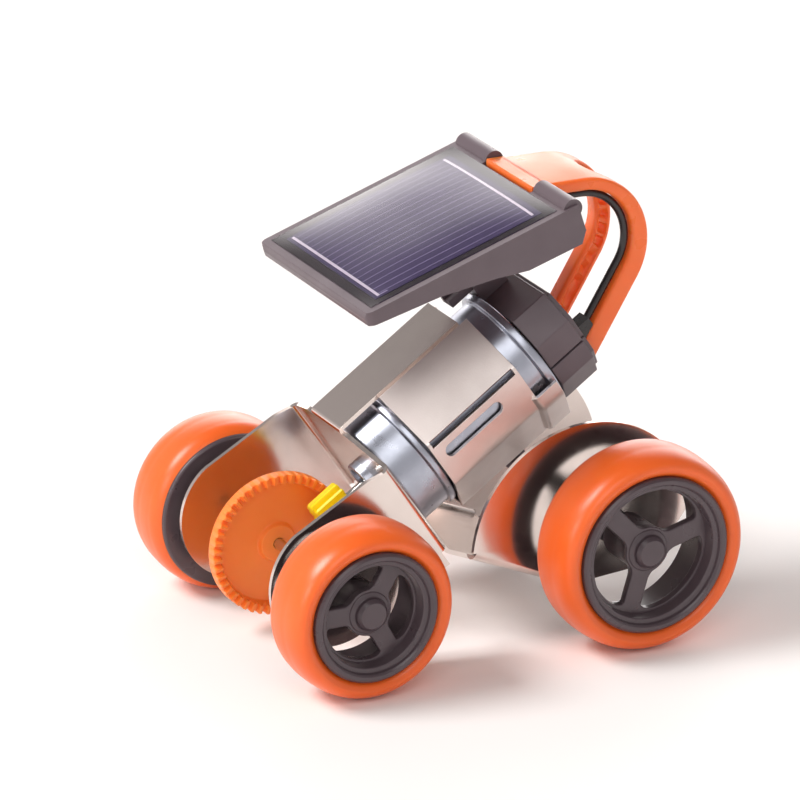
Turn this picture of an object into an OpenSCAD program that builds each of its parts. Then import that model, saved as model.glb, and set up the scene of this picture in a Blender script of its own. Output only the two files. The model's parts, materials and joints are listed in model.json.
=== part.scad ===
// Solar powered four wheel racer kit: two bent sheet brackets, a clipped in motor with a crown gear
// drive to the front axle, and a tilting solar panel carried on a forked arm.
// Millimetres, +Z up, +X forward (small front wheels), +Y to the left side, floor at z = 0.

/* [Wheels and axles] */
// Distance between the front and rear axles
wheelbase = 54; // [40:1:80]
// Outer radius of the rear tyres
rear_tyre_r = 18.5; // [14:0.25:24]
// Outer radius of the front tyres
front_tyre_r = 15.75; // [12:0.25:20]
// Outer radius of the rear wheel rims
rear_rim_r = 14.4; // [11:0.1:18]
// Outer radius of the front wheel rims
front_rim_r = 11.8; // [9:0.1:15]
// Distance from the middle to the outer face of a rear wheel
rear_face_y = 34.2; // [28:0.1:40]
// Distance from the middle to the outer face of a front wheel
front_face_y = 32.9; // [28:0.1:40]
// Width of the tyres
tyre_w = 12.6; // [8:0.1:13]
// Radius of the axles and of the motor shaft
axle_r = 1; // [0.75:0.05:1.5]
// Radial clearance of everything that turns on a pin or axle
run_gap = 0.05; // [0.02:0.01:0.1]

/* [Chassis sheet] */
// Thickness of the bent metal sheet
sheet_t = 0.8; // [0.5:0.1:1.2]
// Distance from the middle to the outer side of the bracket cheeks
cheek_y = 17.6; // [14:0.1:18]

/* [Motor] */
// Downward tilt of the motor axis towards the front axle
motor_tilt = 35.5; // [30:0.5:40]
// Outer radius of the motor can
can_r = 11.6; // [10:0.1:12]
// Distance along the motor axis from the front axle to the bracket web
web_s = 19.2; // [18:0.1:22]

/* [Gears] */
// Gear module of the pinion and the crown gear
gear_module = 0.5; // [0.4:0.05:0.6]
// Number of teeth on the motor pinion
pinion_teeth = 14; // [8:1:16]
// Number of teeth on the crown gear
crown_teeth = 48; // [40:1:56]

/* [Solar panel] */
// Downward slope of the panel towards the front
panel_tilt = 19; // [5:0.5:30]
// Width of the panel across the car
panel_w = 40; // [34:0.5:46]
// Length of the panel from its hinge to the front edge
panel_len = 41.8; // [36:0.2:48]
// Radius of the hinge knuckles
knuckle_r = 1.8; // [1.4:0.1:2.2]
// Radius of the hinge pin
pin_r = 0.6; // [0.4:0.05:0.8]

/* [Hidden] */
$fn = 64;
rear_x = -(wheelbase + front_tyre_r - rear_tyre_r) / 2;
front_x = rear_x + wheelbase;
eps = 0.01;
big = 120;

// wheels
tyre_round = 3.9;
seat_gap = 0.02;
rim_wall = 1.5;
flange_out = 2.5;
flange_t = 1.3;
flange_in = 0.3;
dish = 2.9;
web_wall = 1.6;
hub_cap_r = 2.9;
hub_cap_chamfer = 0.6;
hub_nose_in = 1.1;
hub_boss_r = 4.15;
axle_in_hub = 2.6;
spoke_w = 3.6;
opening_rim = 1.7;

// bushes
bush_r = 2.2;
bush_flange_r = 3.2;
bush_flange_t = 0.7;

// motor stations along its axis, measured back from the front axle
web_back_s = web_s + sheet_t;
can_front_s = web_back_s + 0.02;
can_rear_s = 54;
can_wall = 0.7;
can_face_t = 1;
bead_s = 26.8;
bead_w = 1.3;
bead_r = can_r + 0.8;
lip_s = 52.4;
lip_r = can_r + 0.9;
nose_r = 4.3;
nose_len = 2.4;
nose_wall = 0.8;
shaft_front_s = 7.4;
shaft_rear_s = 56.4;
pinion_front_s = 7.6;
pinion_len = 6.2;
magnet_in_r = 7.4;
magnet_out_r = can_r - can_wall - 0.05;
magnet_s0 = 26;
magnet_s1 = 46;
armature_r = 6.8;
armature_s0 = 27;
armature_s1 = 43;
winding_r = 5.4;
winding_over = 2;
commutator_r = 2.6;
commutator_s0 = 45.4;
commutator_s1 = 50;
endbell_s0 = 51;
endbell_rim_t = 1.4;
bearing_r = 2.6;

// rear cover
cap_s0 = 54.3;
cap_s1 = 62.8;
cap_wall = 1.2;
cap_half_w = 11.5;
cap_flat_y = 7.9;
cap_top_u = 9.8;
cap_side_u = 4.6;
cap_chamfer = 0.9;
cap_split_u = -0.6;
cap_split_gap = 0.35;

// clip round the motor
clip_s0 = 28.3;
clip_s1 = 49;
clip_t = 0.8;
clip_slot_len = 10.5;
clip_slot_r = 1.25;
clip_slot_s = 36.8;
clip_slot_u = 1.8;
tab_len = 4.8;
tab_lift = 0.95;
clip_groove_w = 0.55;
clip_groove_t = 0.35;

// tongue bent back from the web over the motor
tongue_u = 13.2;
tongue_y0 = -8;
tongue_y1 = 2.6;
tongue_s1 = 47.4;

// crown gear, facing the left side
pinion_pitch_r = gear_module * pinion_teeth / 2;
pinion_tip_r = pinion_pitch_r + gear_module;
pinion_root_r = pinion_pitch_r - 0.75;
crown_pitch_r = gear_module * crown_teeth / 2;
crown_out_r = crown_pitch_r + 1;
crown_in_r = crown_pitch_r - 0.7;
crown_tip_y = -(pinion_pitch_r - 0.2);
crown_root_y = -(pinion_tip_r + 0.15);
crown_back_y = -8;
crown_hub_r = 3.4;

// arm
arm_top_z = 79.8;
arm_c_z = 66.6;
arm_in_c_z = 67.6;
arm_c_x = 2;
arm_out_r = arm_top_z - arm_c_z;
arm_in_r = 9.9;
arm_half_w = 8.2;
leg_w = 3.4;
arm_end_a = 210;
leg_len = 24;
rib_t = 0.7;
rib_h = 0.5;

// hinge position ahead of the rear axle and above the floor
hinge_dx = 10.9;
hinge_z = 79.1;

// panel frame
frame_top = 0.65;
frame_wall = 1.4;
frame_skin = 1;
hinge_gap = 0.3;
seat_depth = 1.05;
seat_inset = 2.1;
cover_t = 0.9;
frame_corner_r = 1.6;
board_t = 0.35;
dome_r = 150;
dome_top = 1.9;
cell_t = 0.3;
cell_inset = 2;
bus_w = 0.5;
bus_t = 0.12;

// lead
lead_r = 0.7;
lead_y = 6.5;
lead_gap = 0.1;

// Local frame on the motor axis: x up away from the axis, y to the left, z back along the axis.
module on_motor_axis() {
    translate([front_x, 0, front_tyre_r]) rotate([0, motor_tilt - 90, 0]) children();
}

// Ring or disc on the motor axis between two stations.
module axis_disc(r, s0, s1) {
    translate([0, 0, s0]) cylinder(r = r, h = s1 - s0);
}

// A flat outline given ahead of the rear axle and above the floor, extruded across the car.
module side_plate(y0, y1) {
    translate([rear_x, y1, 0]) rotate([90, 0, 0]) linear_extrude(height = y1 - y0) children();
}

// Local frame of the panel: origin on the hinge, x down the slope to the front, z out of its face.
module on_panel() {
    translate([rear_x + hinge_dx, 0, hinge_z]) rotate([0, panel_tilt, 0]) children();
}

module mirror_copy() {
    children();
    mirror([0, 1, 0]) children();
}

// Cylinder along y.
module bar(x, z, r, y0, y1) {
    translate([x, y0, z]) rotate([-90, 0, 0]) cylinder(r = r, h = y1 - y0);
}

// ---------------------------------------------------------------- chassis sheet

// Outline of a front cheek: round nose with a sloping top edge.
module front_cheek_outline() {
    translate([54.5, 17]) circle(r = 12.2);
    polygon([[44.5, 35.7], [48.6, 34.3], [62.3, 26.3], [54.5, 17], [48.35, 6.47], [30.2, 17.2]]);
}

// Outline of a rear cheek: most of a large disc standing on the floor plate.
module rear_cheek_outline() {
    intersection() {
        translate([5, 16]) circle(r = 22.2);
        polygon([[27.4, 16.0], [28.6, 42], [-18, 42], [-18, 22], [-9, 9.5], [8, 8.1]]);
    }
}

module web_plate() {
    on_motor_axis() difference() {
        translate([0, 0, web_s]) linear_extrude(height = sheet_t) union() {
            polygon([[-12.5, -cheek_y], [-12.5, cheek_y], [10.7, cheek_y], [tongue_u, tongue_y1 + 1.5],
                [tongue_u + sheet_t, tongue_y1], [tongue_u + sheet_t, tongue_y0],
                [tongue_u, tongue_y0 - 1.5], [10.7, -cheek_y]]);
        }
        axis_disc(nose_r + seat_gap, web_s - 1, web_back_s + 1);
    }
}

module top_tongue() {
    on_motor_axis() translate([tongue_u, tongue_y0, web_s])
        cube([sheet_t, tongue_y1 - tongue_y0, tongue_s1 - web_s]);
}

module floor_plate() {
    side_plate(-cheek_y, cheek_y)
        polygon([[30.9, 17.5], [30.2, 17.1], [8, 8.05], [8, 8.9], [27.3, 16.8], [30.2, 18]]);
}

module chassis_frame() {
    color("silver") difference() {
        union() {
            web_plate();
            top_tongue();
            floor_plate();
            mirror_copy() side_plate(cheek_y - sheet_t, cheek_y) front_cheek_outline();
            mirror_copy() side_plate(cheek_y - sheet_t, cheek_y) rear_cheek_outline();
        }
        bar(front_x, front_tyre_r, bush_r + seat_gap, -big, big);
        bar(rear_x, rear_tyre_r, bush_r + seat_gap, -big, big);
    }
}

// ---------------------------------------------------------------- motor clip

// Inner line of the clip: flats round the motor, open at the top.
module clip_outline(grow) {
    polygon([[13.0 + grow, 2.95], [5.2 + 0.6 * grow, 11.95 + grow], [-3.9 - 0.4 * grow, 11.95 + grow],
        [-11.9 - grow, 6.6 + 0.6 * grow], [-11.9 - grow, -6.6 - 0.6 * grow],
        [-3.9 - 0.4 * grow, -11.95 - grow], [9 + grow, -11.95 - grow]]);
}

module clip_slot() {
    translate([clip_slot_u, 9, clip_slot_s - clip_slot_len / 2]) rotate([-90, 0, 0])
        cylinder(r = clip_slot_r, h = 6);
    translate([clip_slot_u, 9, clip_slot_s + clip_slot_len / 2]) rotate([-90, 0, 0])
        cylinder(r = clip_slot_r, h = 6);
    translate([clip_slot_u - clip_slot_r, 9, clip_slot_s - clip_slot_len / 2])
        cube([2 * clip_slot_r, 6, clip_slot_len]);
}

// Tab at the rear of the left side flat, wrapping the lip of the motor.
module clip_tab() {
    intersection() {
        union() {
            translate([0, 0, clip_s1 - 1]) linear_extrude(height = tab_len + 1) difference() {
                clip_outline(clip_t + tab_lift);
                clip_outline(tab_lift);
            }
            translate([0, 0, clip_s1 - 1]) linear_extrude(height = 1) difference() {
                clip_outline(clip_t + tab_lift);
                clip_outline(0);
            }
        }
        translate([-13.5, 6, clip_s1 - 1]) cube([12, 10, tab_len + 1]);
    }
}

// Groove scored along the fold between the sloping flat and the left side flat.
module clip_groove() {
    translate([5.2 - 0.15, 11.95 + clip_groove_t, clip_s0 - 1])
        cube([clip_groove_w, 2, clip_s1 - clip_s0 + 2]);
}

module motor_clip() {
    color("silver") on_motor_axis() difference() {
        union() {
            translate([0, 0, clip_s0]) linear_extrude(height = clip_s1 - clip_s0) difference() {
                clip_outline(clip_t);
                clip_outline(0);
                polygon([[8, 2.95], [30, 2.95 + 0.2], [30, -20], [9, -20]]);
            }
            clip_tab();
        }
        clip_slot();
        clip_groove();
    }
}

// ---------------------------------------------------------------- motor

module motor_can() {
    color("lightsteelblue") on_motor_axis() difference() {
        union() {
            axis_disc(can_r, can_front_s, can_rear_s);
            axis_disc(bead_r, bead_s, bead_s + bead_w);
            axis_disc(lip_r, lip_s, can_rear_s);
            axis_disc(nose_r, can_front_s - nose_len, can_front_s + eps);
        }
        axis_disc(can_r - can_wall, can_front_s + can_face_t, can_rear_s + 1);
        axis_disc(nose_r - nose_wall, can_front_s - nose_len - 1, can_front_s - 0.4);
        axis_disc(axle_r + run_gap, can_front_s - 4, can_front_s + 4);
    }
}

// Arc magnet against the inside of the can, the middle of the arc facing the left.
module magnet() {
    translate([0, 0, magnet_s0]) rotate([0, 0, 30]) rotate_extrude(angle = 120)
        translate([magnet_in_r, 0]) square([magnet_out_r - magnet_in_r, magnet_s1 - magnet_s0]);
}

module motor_magnet_left() {
    color("dimgray") on_motor_axis() magnet();
}

module motor_magnet_right() {
    color("dimgray") on_motor_axis() mirror([0, 1, 0]) magnet();
}

module motor_endbell() {
    color("ivory") on_motor_axis() difference() {
        union() {
            axis_disc(can_r - can_wall - seat_gap, endbell_s0, can_rear_s);
            axis_disc(bearing_r, can_rear_s - eps, can_rear_s + 1.8);
        }
        axis_disc(can_r - can_wall - endbell_rim_t, endbell_s0 - 1, can_rear_s - 1.4);
        axis_disc(axle_r + run_gap, endbell_s0 - 1, can_rear_s + 3);
        mirror_copy() terminal_hole();
    }
}

module terminal_hole() {
    translate([4.9, 3.4, 50]) cube([0.7, 2.2, 6]);
}

// Two contact blades through the end bell.
module motor_terminals() {
    color("gold") on_motor_axis() mirror_copy()
        translate([4.9 + seat_gap, 3.4 + seat_gap, endbell_s0 + 1.5])
            cube([0.7 - 2 * seat_gap, 2.2 - 2 * seat_gap, 5.2]);
}

// Dark connector block at the top of the motor, under the panel, with two bright solder tags.
module terminal_block() {
    color("dimgray") on_motor_axis() difference() {
        union() {
            translate([cap_top_u + seat_gap, -7.4, 54.4]) cube([3.6, 4.6, 6]);
            translate([lip_r + 0.1, -7.2, 49.6]) cube([1.6, 3.6, 4.9]);
        }
        translate([lip_r + 0.9, -6.2, 49]) cube([2, 1.6, 3]);
    }
}

module motor_shaft() {
    color("silver") on_motor_axis() axis_disc(axle_r, shaft_front_s, shaft_rear_s - 0.8);
}

module armature() {
    color("sienna") on_motor_axis() difference() {
        union() {
            axis_disc(armature_r, armature_s0, armature_s1);
            axis_disc(winding_r, armature_s0 - winding_over, armature_s1 + winding_over);
        }
        axis_disc(axle_r + seat_gap, 0, big);
        for (i = [0 : 2]) rotate([0, 0, 60 + 120 * i]) translate([armature_r, 0, armature_s0 - 4])
            cylinder(r = 1.2, h = 26);
    }
}

module commutator() {
    color("peru") on_motor_axis() difference() {
        axis_disc(commutator_r, commutator_s0, commutator_s1);
        axis_disc(axle_r + seat_gap, 0, big);
    }
}

module pinion_tooth() {
    polygon([[pinion_root_r - 0.3, -0.45], [pinion_tip_r, -0.19], [pinion_tip_r, 0.19],
        [pinion_root_r - 0.3, 0.45]]);
}

module pinion() {
    color("gold") on_motor_axis() translate([0, 0, pinion_front_s]) difference() {
        union() {
            cylinder(r = pinion_root_r, h = pinion_len);
            for (i = [0 : pinion_teeth - 1]) rotate([0, 0, 90 + (i + 0.5) * 360 / pinion_teeth])
                linear_extrude(height = pinion_len) pinion_tooth();
        }
        translate([0, 0, -1]) cylinder(r = axle_r + seat_gap, h = pinion_len + 2);
    }
}

// ---------------------------------------------------------------- rear cover

module cap_outline(inset) {
    polygon([[cap_top_u - inset, -cap_flat_y + 0.4 * inset], [cap_top_u - inset, cap_flat_y - 0.4 * inset],
        [cap_side_u - 0.4 * inset, cap_half_w - inset], [-cap_side_u + 0.4 * inset, cap_half_w - inset],
        [-cap_top_u + inset, cap_flat_y - 0.4 * inset], [-cap_top_u + inset, -cap_flat_y + 0.4 * inset],
        [-cap_side_u + 0.4 * inset, -cap_half_w + inset], [cap_side_u - 0.4 * inset, -cap_half_w + inset]]);
}

module cap_shell() {
    difference() {
        union() {
            translate([0, 0, cap_s0]) linear_extrude(height = cap_s1 - cap_s0 - cap_chamfer) cap_outline(0);
            translate([0, 0, cap_s0]) linear_extrude(height = cap_s1 - cap_s0) cap_outline(cap_chamfer);
        }
        translate([0, 0, cap_s0 - 1]) linear_extrude(height = cap_s1 - cap_s0 - cap_wall + 1)
            cap_outline(cap_wall);
        lead_hole();
    }
}

// Hole for the lead in the rear face of the cover.
module lead_hole() {
    translate([-2.6, lead_y, cap_s1 - 3]) cylinder(r = lead_r + 0.6, h = 6);
}

module end_cap_upper() {
    color("dimgray") on_motor_axis() intersection() {
        cap_shell();
        translate([cap_split_u + cap_split_gap / 2, -big / 2, 0]) cube([big, big, big]);
    }
}

module end_cap_lower() {
    color("dimgray") on_motor_axis() intersection() {
        cap_shell();
        translate([cap_split_u - cap_split_gap / 2 - big, -big / 2, 0]) cube([big, big, big]);
    }
}

// ---------------------------------------------------------------- arm and lead

// Side view of the arm: flat tongue, round bend, straight run down to the rear cover.
module arm_outline() {
    translate([hinge_dx, hinge_z]) circle(r = knuckle_r);
    translate([arm_c_x, arm_top_z - 2.2]) square([hinge_dx - arm_c_x, 2.2]);
    difference() {
        union() {
            translate([arm_c_x, arm_c_z]) circle(r = arm_out_r);
            leg_strip(arm_c_z, arm_out_r, 8);
        }
        translate([arm_c_x, arm_in_c_z]) circle(r = arm_in_r);
        leg_strip(arm_in_c_z, arm_in_r, 30);
        translate([arm_c_x, arm_c_z - 30]) square([40, 60]);
        polygon([[arm_c_x, arm_in_c_z + 5], [arm_c_x + 30, arm_in_c_z + 5], [arm_c_x + 30, 0],
            [arm_c_x - 4, arm_in_c_z - 5]]);
    }
}

// Straight band running down from the end of the bend, from its outer edge inwards.
module leg_strip(c_z, r, w) {
    translate([arm_c_x + r * cos(arm_end_a), c_z + r * sin(arm_end_a)]) rotate(arm_end_a - 180)
        translate([0, -leg_len]) square([w, leg_len + 3]);
}

module arm_wide_zone() {
    translate([rear_x - 3, -arm_half_w, 74]) cube([20, 2 * arm_half_w, 10]);
    translate([rear_x - 20, -arm_half_w, 0]) cube([60, leg_w, 90]);
    translate([rear_x - 20, arm_half_w - leg_w, 0]) cube([60, leg_w, 90]);
}

// Shallow cross ribs on the inner side of each leg.
module arm_ribs() {
    for (a = [150 : 9 : 204]) side_plate(-arm_half_w + leg_w - eps, -arm_half_w + leg_w + rib_h)
        translate([arm_c_x, arm_c_z]) rotate(a) translate([arm_in_r + 0.9, -rib_t / 2])
            square([arm_out_r - arm_in_r - 1.4, rib_t]);
}

module support_arm() {
    color("orangered") difference() {
        union() {
            intersection() {
                side_plate(-arm_half_w, arm_half_w) arm_outline();
                arm_wide_zone();
            }
            arm_ribs();
        }
        on_motor_axis() translate([-40, -30, cap_s1 - 60]) cube([70, 60, 60]);
        bar(rear_x + hinge_dx, hinge_z, pin_r + run_gap, -big, big);
    }
}

lead_arc_r = arm_in_r - lead_gap - lead_r;
lead_bend_r = 6;
lead_bend_x = 7;
lead_bend_a = 35;
lead_top_z = arm_in_c_z + lead_arc_r;
lead_end_len = 2.9;
lead_down_len = 13.6;
lead_trim = 0.02;
lead_trim_a = 0.15;

// Round bar bent in the side plane: an arc about (x, z) from one angle to another.
module lead_arc(x, z, r, a0, a1) {
    translate([rear_x + x, lead_y, z]) rotate([90, 0, 0]) rotate([0, 0, a0 + lead_trim_a])
        rotate_extrude(angle = a1 - a0 - 2 * lead_trim_a) translate([r, 0]) circle(r = lead_r);
}

module lead_straight(x, z, a, len) {
    translate([rear_x + x, lead_y, z]) rotate([0, 90 - a, 0]) translate([0, 0, lead_trim])
        cylinder(r = lead_r, h = len - 2 * lead_trim);
}

// Small swelling where two runs of the lead meet.
module lead_joint(x, z) {
    translate([rear_x + x, lead_y, z]) sphere(r = lead_r + 0.03);
}

module solar_lead() {
    bend_x = lead_bend_x + lead_bend_r * sin(lead_bend_a);
    bend_z = lead_top_z - lead_bend_r + lead_bend_r * cos(lead_bend_a);
    down_x = arm_c_x + lead_arc_r * cos(arm_end_a);
    down_z = arm_in_c_z + lead_arc_r * sin(arm_end_a);
    color("black") union() {
        lead_straight(bend_x, bend_z, -lead_bend_a, lead_end_len);
        lead_joint(bend_x, bend_z);
        lead_arc(lead_bend_x, lead_top_z - lead_bend_r, lead_bend_r, 90 - lead_bend_a, 90);
        lead_joint(lead_bend_x, lead_top_z);
        lead_straight(arm_c_x, lead_top_z, 0, lead_bend_x - arm_c_x);
        lead_joint(arm_c_x, lead_top_z);
        lead_arc(arm_c_x, arm_in_c_z, lead_arc_r, 90, arm_end_a);
        lead_joint(down_x, down_z);
        lead_straight(down_x, down_z, arm_end_a + 90, lead_down_len);
    }
}

module strain_relief() {
    color("dimgray") difference() {
        on_motor_axis() translate([-4.6, lead_y - 1.6, cap_s1 + seat_gap]) cube([4.4, 3.2, 3]);
        translate([rear_x + arm_c_x + lead_arc_r * cos(arm_end_a), lead_y,
            arm_in_c_z + lead_arc_r * sin(arm_end_a)]) rotate([0, 90 - arm_end_a - 90, 0])
                cylinder(r = lead_r + seat_gap, h = leg_len);
        side_plate(lead_y - 5, lead_y + 5) arm_outline();
    }
}

// ---------------------------------------------------------------- bushes and axles

// Plastic bush in a cheek, flange outside; drawn for the left side.
module bush(x, z) {
    color("dimgray") difference() {
        union() {
            bar(x, z, bush_r, cheek_y - sheet_t - 0.6, cheek_y + bush_flange_t);
            bar(x, z, bush_flange_r, cheek_y + seat_gap, cheek_y + bush_flange_t);
        }
        bar(x, z, axle_r + run_gap, 0, big);
    }
}

module bush_front_left() { bush(front_x, front_tyre_r); }
module bush_front_right() { mirror([0, 1, 0]) bush(front_x, front_tyre_r); }
module bush_rear_left() { bush(rear_x, rear_tyre_r); }
module bush_rear_right() { mirror([0, 1, 0]) bush(rear_x, rear_tyre_r); }

module front_axle() {
    color("silver") bar(front_x, front_tyre_r, axle_r, -front_face_y + axle_in_hub,
        front_face_y - axle_in_hub);
}

module rear_axle() {
    color("silver") bar(rear_x, rear_tyre_r, axle_r, -rear_face_y + axle_in_hub, rear_face_y - axle_in_hub);
}

// ---------------------------------------------------------------- wheels

// Section of a tyre in a plane through the axle: radius across, width up from its inner face.
module tyre_section(tyre_r, rim_r) {
    c = tyre_round;
    translate([rim_r - 1, 0]) square([tyre_r - rim_r + 1 - c, tyre_w]);
    translate([rim_r - 1, c]) square([tyre_r - rim_r + 1, tyre_w - 2 * c]);
    translate([tyre_r - c, c]) circle(r = c);
    translate([tyre_r - c, tyre_w - c]) circle(r = c);
}

// Wheels are drawn for the left side, standing on the floor, outer face towards the left.
module tyre(x, tyre_r, rim_r, face_y) {
    color("orangered") translate([x, face_y - tyre_w, tyre_r]) rotate([-90, 0, 0]) difference() {
        rotate_extrude() tyre_section(tyre_r, rim_r);
        translate([0, 0, -1]) cylinder(r = rim_r + seat_gap, h = tyre_w + 2);
        translate([0, 0, -1])
            cylinder(r = rim_r + flange_out + seat_gap, h = 1 + flange_in + flange_t + seat_gap);
    }
}

// Section of a hub, laid out like the tyre's; its inner flange overlaps the tyre's side.
module hub_section(rim_r) {
    w = tyre_w - flange_in;
    step_r = rim_r - rim_wall;
    translate([step_r, flange_in]) square([rim_wall, w]);
    translate([step_r, flange_in]) square([rim_wall + flange_out, flange_t]);
    translate([step_r - 1.1, w - dish - 0.6]) square([1.1 + eps, 1.5]);
    translate([0, w - dish - web_wall]) square([step_r + eps, web_wall]);
    translate([0, 0.9]) square([hub_boss_r, w - dish - 1.5]);
    polygon([[0, 0.9], [hub_cap_r, 0.9], [hub_cap_r, w - hub_nose_in - hub_cap_chamfer],
        [hub_cap_r - hub_cap_chamfer, w - hub_nose_in], [0, w - hub_nose_in]]);
}

// Cutter for the three openings of a wheel: a ring, left whole where the spokes run.
module hub_openings(in_r, out_r) {
    difference() {
        cylinder(r = out_r, h = tyre_w);
        translate([0, 0, -1]) cylinder(r = in_r, h = tyre_w + 2);
        for (i = [0 : 2]) rotate([0, 0, -120 * i]) translate([0, -spoke_w / 2, -1])
            cube([out_r + 1, spoke_w, tyre_w + 2]);
    }
}

module hub(x, tyre_r, rim_r, face_y, spoke_a) {
    color("dimgray") translate([x, face_y - tyre_w, tyre_r]) rotate([-90, 0, 0]) difference() {
        rotate_extrude() hub_section(rim_r);
        translate([0, 0, -1]) cylinder(r = axle_r + seat_gap, h = tyre_w + 1 - axle_in_hub + 0.1);
        rotate([0, 0, -spoke_a]) translate([0, 0, 3])
            hub_openings(hub_boss_r + 0.15, rim_r - rim_wall - opening_rim);
    }
}

module rear_tyre_left() { tyre(rear_x, rear_tyre_r, rear_rim_r, rear_face_y); }
module rear_tyre_right() { mirror([0, 1, 0]) rear_tyre_left(); }
module front_tyre_left() { tyre(front_x, front_tyre_r, front_rim_r, front_face_y); }
module front_tyre_right() { mirror([0, 1, 0]) front_tyre_left(); }
module rear_hub_left() { hub(rear_x, rear_tyre_r, rear_rim_r, rear_face_y, 45); }
module rear_hub_right() { mirror([0, 1, 0]) rear_hub_left(); }
module front_hub_left() { hub(front_x, front_tyre_r, front_rim_r, front_face_y, 0); }
module front_hub_right() { mirror([0, 1, 0]) front_hub_left(); }

// ---------------------------------------------------------------- crown gear

// Tooth of the crown gear: a wedge running outwards on the left face of the rim.
module crown_tooth() {
    tooth_h = crown_tip_y - crown_root_y;
    translate([crown_in_r, 0, 0]) rotate([90, 0, 90])
        linear_extrude(height = crown_out_r - crown_in_r - 0.15)
            polygon([[-0.34, -0.2], [0.34, -0.2], [0.17, tooth_h], [-0.17, tooth_h]]);
}

module crown_gear() {
    rim_t = 1.6;
    body_h = crown_root_y - crown_back_y;
    color("orangered") translate([front_x, crown_back_y, front_tyre_r]) rotate([-90, 0, 0]) difference() {
        union() {
            translate([0, 0, body_h - rim_t]) cylinder(r = crown_out_r, h = rim_t);
            cylinder(r = crown_out_r - 1.3, h = body_h - 0.5);
            cylinder(r = crown_hub_r, h = body_h);
            for (i = [0 : crown_teeth - 1]) rotate([0, 0, 180 + motor_tilt + i * 360 / crown_teeth])
                translate([0, 0, body_h]) crown_tooth();
        }
        translate([0, 0, body_h - 1]) difference() {
            cylinder(r = crown_in_r - 0.3, h = 2);
            translate([0, 0, -1]) cylinder(r = crown_hub_r, h = 4);
        }
        translate([0, 0, -1]) cylinder(r = axle_r + seat_gap, h = 20);
    }
}

// ---------------------------------------------------------------- solar panel

module frame_side_outline() {
    polygon([[-0.9, frame_top], [panel_len, frame_top], [panel_len + 0.4, -0.6], [panel_len + 0.2, -1.9],
        [28.4, -2.9], [17.6, -4.8], [11.2, -6.4], [0.4, -6.6], [-1.0, -4.5]]);
}

// Inside of the frame, seen from the side, open underneath.
module frame_pocket_outline() {
    polygon([[2.4 + frame_wall, frame_top - seat_depth - frame_skin],
        [panel_len - frame_wall, frame_top - seat_depth - frame_skin], [panel_len - frame_wall, -9],
        [2.4 + frame_wall, -9]]);
}

module panel_plate(y0, y1) {
    translate([0, y1, 0]) rotate([90, 0, 0]) linear_extrude(height = y1 - y0) children();
}

// Cutter that rounds one front corner of the frame in plan.
module frame_corner_cut() {
    translate([panel_len + 0.4 - frame_corner_r, panel_w / 2 - frame_corner_r, -10]) difference() {
        cube([5, 5, 20]);
        translate([0, 0, -1]) cylinder(r = frame_corner_r, h = 22);
    }
}

module hinge_knuckle(y0, y1) {
    bar(0, 0, knuckle_r, y0, y1);
}

module panel_frame() {
    half = panel_w / 2;
    clear_y = arm_half_w + hinge_gap;
    color("dimgray") on_panel() difference() {
        union() {
            panel_plate(-half, half) frame_side_outline();
            hinge_knuckle(-half + 0.6, -clear_y);
            hinge_knuckle(clear_y, half - 0.6);
        }
        panel_plate(-half + frame_wall, half - frame_wall) frame_pocket_outline();
        translate([2.6, -half + seat_inset - 0.6, frame_top - seat_depth])
            cube([panel_len - 2.6 - seat_inset + 0.6, panel_w - 2 * seat_inset + 1.2, 5]);
        translate([-10, -clear_y, -10]) cube([12.4, 2 * clear_y, 20]);
        translate([2, lead_y - 1.3, -7.2]) cube([2.4, 2.6, 5.3]);
        bar(0, 0, pin_r + seat_gap, -half + 1.2, half - 1.2);
        mirror_copy() frame_corner_cut();
    }
}

// Cover closing the underside of the frame, following its wedge shape.
module panel_cover() {
    half = panel_w / 2 - frame_wall - run_gap;
    color("dimgray") on_panel() panel_plate(-half, half)
        polygon([[panel_len - frame_wall - run_gap, -1.9], [28.4, -2.8], [17.6, -4.7], [11.2, -6.3],
            [2.4 + frame_wall + run_gap, -6.45], [2.4 + frame_wall + run_gap, -6.45 + cover_t],
            [10.8, -6.3 + cover_t], [17.2, -4.75 + cover_t], [28.2, -2.8 + cover_t + 0.05],
            [30, -2.75 + cover_t + 0.1], [panel_len - frame_wall - run_gap, -1.9 + 0.45]]);
}

seat_x0 = 2.6 + seat_gap;
seat_x1 = panel_len - seat_inset + 0.6 - seat_gap;
seat_y = panel_w / 2 - seat_inset + 0.6 - seat_gap;
seat_z = frame_top - seat_depth;

// Black board that carries the cell, flat in the seat of the frame.
module cell_board() {
    color("black") on_panel() translate([seat_x0, -seat_y, seat_z])
        cube([seat_x1 - seat_x0, 2 * seat_y, board_t]);
}

cell_z = seat_z + board_t;

// Clear resin block over the cell: gently domed both ways.
module cell_dome() {
    mid_x = (seat_x0 + seat_x1) / 2;
    color("navy") on_panel() difference() {
        intersection() {
            translate([seat_x0, -seat_y, cell_z]) cube([seat_x1 - seat_x0, 2 * seat_y, 5]);
            translate([seat_x0 - 1, 0, dome_top - dome_r]) rotate([0, 90, 0])
                cylinder(r = dome_r, h = 60, $fn = 720);
            translate([mid_x, -40, dome_top - dome_r]) rotate([-90, 0, 0])
                cylinder(r = dome_r, h = 80, $fn = 720);
        }
        translate([seat_x0 + cell_inset - seat_gap, -seat_y + cell_inset - seat_gap, cell_z - 1])
            cube([seat_x1 - seat_x0 - 2 * cell_inset + 2 * seat_gap, 2 * (seat_y - cell_inset + seat_gap),
                1 + cell_t + bus_t + 0.05]);
    }
}

module solar_cell() {
    color("midnightblue") on_panel() translate([seat_x0 + cell_inset, -seat_y + cell_inset, cell_z])
        cube([seat_x1 - seat_x0 - 2 * cell_inset, 2 * (seat_y - cell_inset), cell_t]);
}

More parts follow.
